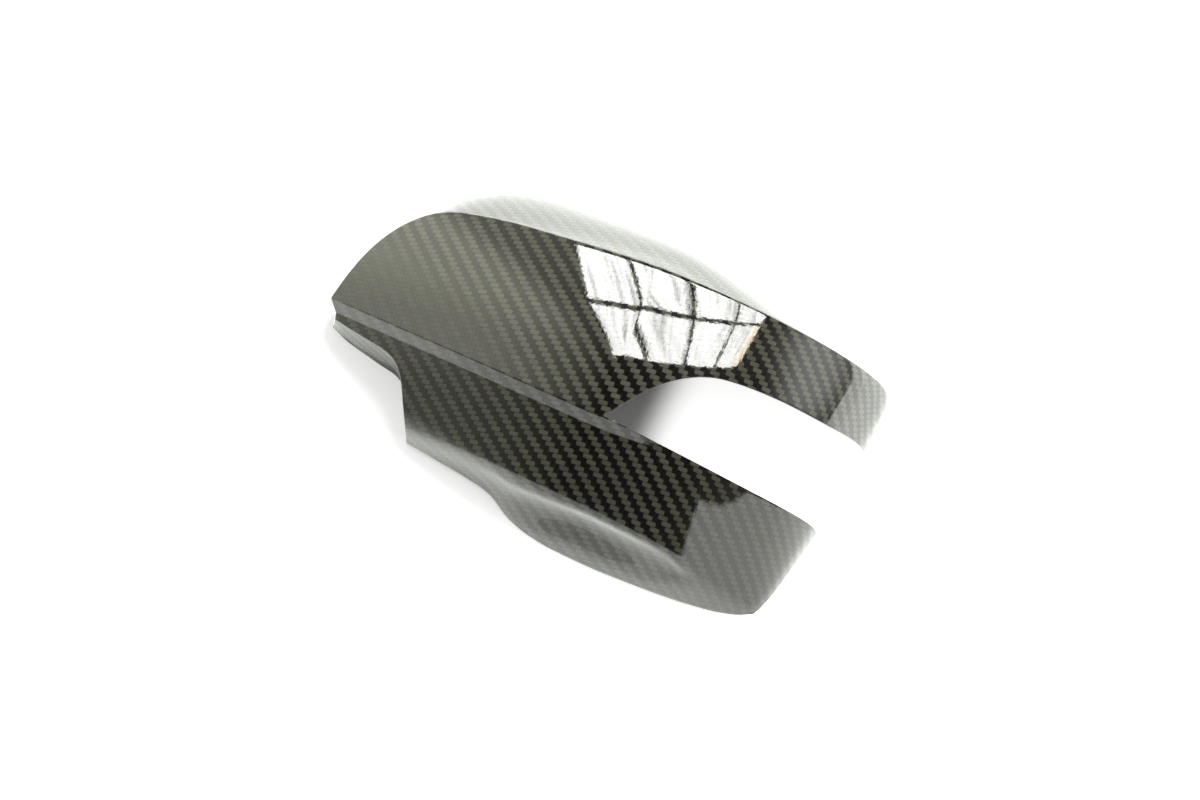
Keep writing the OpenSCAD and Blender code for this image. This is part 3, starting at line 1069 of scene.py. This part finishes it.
def floor_material():
    """White table, over-exposed as the camera sees it and bright in the gloss of the part."""
    material, n = empty_material("white_table")
    spot = n.add("ShaderNodeTexCoord").outputs["Object"]
    x, y, _ = n.split(spot)
    footprint = n.length(n.join(n.math("DIVIDE", x, oval_x), n.math("DIVIDE", y, oval_y)))
    table = n.matt(table_white)
    # Seen straight: over-exposed, with a painted shadow under the cover up to the slot
    painted_shadow_mask = n.product(n.ramp(footprint, 0.8, 0.6), n.ramp(x, 0.038, 0.022))
    painted_shadow_matt = n.matt(n.blend(painted_shadow_mask, table_white, table_painted_shadow))
    # Painted light: a glow on the table for the camera, strongest in the slot, weaker on the open table
    slot_painted_light = n.product(n.ramp(x, 0.02, 0.046), n.ramp(y, -0.06, -0.035), 0.5)
    open_part = n.product(n.math("SUBTRACT", 1.0, painted_shadow_mask), 0.3)
    painted_floor_light = n.glow((1, 1, 1, 1), n.math("ADD", slot_painted_light, open_part))
    seen = n.sum_of(n.sum_of(table, painted_shadow_matt), painted_floor_light)
    mirrored = n.glow(table_gloss, table_level(n, spot, x, y, footprint))
    path = n.add("ShaderNodeLightPath")
    by_camera = n.choose(path.outputs["Is Camera Ray"], table, seen)
    n.show(n.choose(path.outputs["Is Glossy Ray"], by_camera, mirrored))
    return material


def floor_piece():
    corners = [(x * table_half, y * table_half, 0) for x, y in ((-1, -1), (1, -1), (1, 1), (-1, 1))]
    mesh = bpy.data.meshes.new("table")
    mesh.from_pydata(corners, [], [(0, 1, 2, 3)])
    floor = bpy.data.objects.new("table", mesh)
    floor.data.materials.append(floor_material())
    bpy.context.scene.collection.objects.link(floor)
    return floor


# Window over the table: the directions of its bars' crossings, seen from the cover
window_height = 1.5
window_rows = (
    ((-0.20, 0.24), (-0.05, 0.30), (0.11, 0.385), (0.28, 0.46), (0.44, 0.55)),
    ((-0.53, 0.64), (-0.20, 0.70), (0.03, 0.82), (0.27, 0.97), (0.47, 1.12)),
    ((-0.95, 1.45), (-0.62, 1.45), (-0.14, 1.50), (0.19, 1.55), (0.50, 1.60)),
)
# Share of a pane that the bars take, where the warm pane starts, pleats to a pane, and levels of light
bar_share = 0.09
warm_start = 0.74
pleat_count = 15.0
shaded_pane = 10.5
open_pane = 24.0
pane_fill = 0.5


def window_material(name, color):
    """Panes behind a thin pleated blind; they light the gloss, and the lamps light the rest."""
    material, n = empty_material(name)
    across, up, _ = n.split(n.add("ShaderNodeUVMap", uv_map="panes").outputs[0])
    pleats = n.noise(n.join(n.product(across, pleat_count), n.product(up, 0.5)), 1.0, 1.0, 0.5)
    level = n.ramp(pleats, 0.36, 0.48, shaded_pane, open_pane)
    path = n.add("ShaderNodeLightPath")
    n.show(n.glow(color, n.blend_value(path.outputs["Is Glossy Ray"], pane_fill, level)))
    return material


def window_piece():
    points, faces, warm, places = [], [], [], []

    def pane(corners, middle, row, left, right, is_warm):
        start = len(points)
        for corner, place in zip(corners, ((left, row), (right, row), (right, row + 1), (left, row + 1))):
            spot = mix(corner, middle, bar_share) * window_height
            points.append((spot[0], spot[1], window_height))
            places.append(place)
        faces.append(tuple(range(start, start + 4))[::-1])
        warm.append(is_warm)

    for row, (near, far) in enumerate(zip(window_rows, window_rows[1:])):
        for c in range(len(near) - 1):
            a, b, d, e = vec(*near[c]), vec(*near[c + 1]), vec(*far[c + 1]), vec(*far[c])
            middle = (a + b + d + e) / 4
            if row == 0 and c == len(near) - 2:
                low, high = mix(a, b, warm_start), mix(e, d, warm_start)
                pane((a, low, high, e), middle, row, c, c + warm_start, False)
                pane((low, b, d, high), middle, row, c + warm_start, c + 1, True)
            else:
                pane((a, b, d, e), middle, row, c, c + 1, False)
    mesh = bpy.data.meshes.new("window")
    mesh.from_pydata(points, [], faces)
    uv = mesh.uv_layers.new(name="panes")
    for loop in mesh.loops:
        uv.data[loop.index].uv = places[loop.vertex_index]
    mesh.materials.append(window_material("window_light", (1, 1, 0.98, 1)))
    mesh.materials.append(window_material("window_warm", (1, 0.84, 0.66, 1)))
    for polygon, is_warm in zip(mesh.polygons, warm):
        polygon.material_index = int(is_warm)
    window = bpy.data.objects.new("window", mesh)
    bpy.context.scene.collection.objects.link(window)
    return window


# Room: its light on matt surfaces, its level for the camera, and its two tints in the gloss
room_fill = 0.35
room_seen = 1.0
room_cool = (0.98, 1, 0.94, 1)
room_warm = (0.98, 1, 0.84, 1)


def room_level(n, x, y, z):
    """How bright the room is in the gloss, by direction: bright at the table's edge and dim overhead."""
    past_table = n.math("ADD", z, n.ramp(y, -0.6, -0.9, 0, -0.12))
    level = n.product(n.ramp(past_table, 0.2, 0.02, 0.03, 3.4), n.ramp(y, -0.8, -0.95, 1, 0.7))
    inboard = n.product(
        n.ramp(x, -0.12, -0.72, 0, 2.5), n.ramp(y, -0.7, -0.1, 0.3, 1), n.ramp(y, 0.1, 0.4, 1, 1.4),
        n.ramp(n.math("MULTIPLY_ADD", x, 0.9, y), 0.08, -0.12, 0.35, 1),
    )
    outboard = n.product(
        n.ramp(x, 0.3, 0.6, 0, 3.2), n.ramp(y, 0.1, 0.45),
        n.ramp(z, 0.75, 0.5), n.ramp(z, 0.16, 0.42, 0.3, 1),
    )
    front = n.product(
        n.ramp(x, 0.12, 0.2), n.ramp(n.math("MULTIPLY_ADD", z, -0.55, x), 0.135, 0.165),
        n.ramp(y, 0.15, -0.1), n.ramp(n.math("MULTIPLY_ADD", x, 0.35, z), 0.73, 0.70, 0, 3.2),
    )
    roofward = n.product(n.ramp(z, 0.1, 0.0, 0, 7.5), n.ramp(y, 0.2, 0.5))
    arm_end = n.product(n.ramp(x, 0.5, 0.6), n.ramp(y, 0.1, 0.25), n.ramp(z, 0.17, 0.14, 0, 5))
    for part in (inboard, outboard, front, roofward, arm_end):
        level = n.math("MAXIMUM", level, part)
    return level


def surroundings():
    """White room as the camera sees it, pale walls in the gloss, and a weak fill on the rest."""
    world = bpy.data.worlds.new("studio")
    bpy.context.scene.world = world
    world.use_nodes = True
    world.node_tree.nodes.clear()
    n = Nodes(world.node_tree)
    x, y, z = n.split(n.add("ShaderNodeTexCoord").outputs["Generated"])
    path = n.add("ShaderNodeLightPath")
    by_gloss, by_camera = path.outputs["Is Glossy Ray"], path.outputs["Is Camera Ray"]
    strength = n.blend_value(by_gloss, room_fill, room_level(n, x, y, z))
    strength = n.blend_value(by_camera, strength, room_seen)
    warm = n.product(n.ramp(z, 0.1, 0.35), n.ramp(x, 0.3, 0.15))
    tint = n.blend(warm, room_cool, room_warm)
    back = n.add("ShaderNodeBackground")
    n.feed(back.inputs["Color"], n.blend(by_gloss, (1, 1, 1, 1), tint))
    n.feed(back.inputs["Strength"], strength)
    n.feed(n.add("ShaderNodeOutputWorld").inputs[0], back.outputs[0])


def soft_lamp(name, place, size, energy):
    lamp = bpy.data.lights.new(name, "AREA")
    lamp.shape = "DISK"
    lamp.size = size
    lamp.energy = energy
    light = bpy.data.objects.new(name, lamp)
    light.location = place
    light.rotation_euler = (-Vector(place)).to_track_quat("-Z", "Y").to_euler()
    light.visible_glossy = False
    bpy.context.scene.collection.objects.link(light)


# Camera at the photo's viewing angle: turned from the front towards the outboard side, and looking down
camera_target = Vector((0.011267, -0.0208, 0.052))
camera_azimuth = math.radians(24.49)
camera_elevation = math.radians(72.01)
camera_distance = 0.6
camera_lens = 45.18


def photo_camera():
    data = bpy.data.cameras.new("camera")
    data.lens = camera_lens
    data.sensor_width = 36
    data.sensor_fit = "HORIZONTAL"
    data.clip_start = 0.01
    camera = bpy.data.objects.new("camera", data)
    level, rise = math.cos(camera_elevation), math.sin(camera_elevation)
    away = Vector((math.sin(camera_azimuth) * level, -math.cos(camera_azimuth) * level, rise))
    camera.location = camera_target + away * camera_distance
    camera.rotation_euler = (-away).to_track_quat("-Z", "Y").to_euler()
    bpy.context.scene.collection.objects.link(camera)
    bpy.context.scene.camera = camera


shell = shell_piece()
shell.data.materials.clear()
shell.data.materials.append(carbon_material("carbon_polished", coat=1.0, coat_roughness=0.015))
shell.data.materials.append(carbon_material("carbon_inside", coat=0.5, coat_roughness=0.32))
shell.data.materials.append(edge_material())
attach(shell, "root")
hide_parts("cover_shell")

floor_piece()
window_piece()
surroundings()
soft_lamp("window_side", place=(0.2, 0.9, 1.1), size=0.8, energy=9.5)
soft_lamp("outboard_side", place=(1.2, 0.1, 0.7), size=0.7, energy=2.0)
photo_camera()
bpy.context.scene.view_settings.view_transform = "Standard"
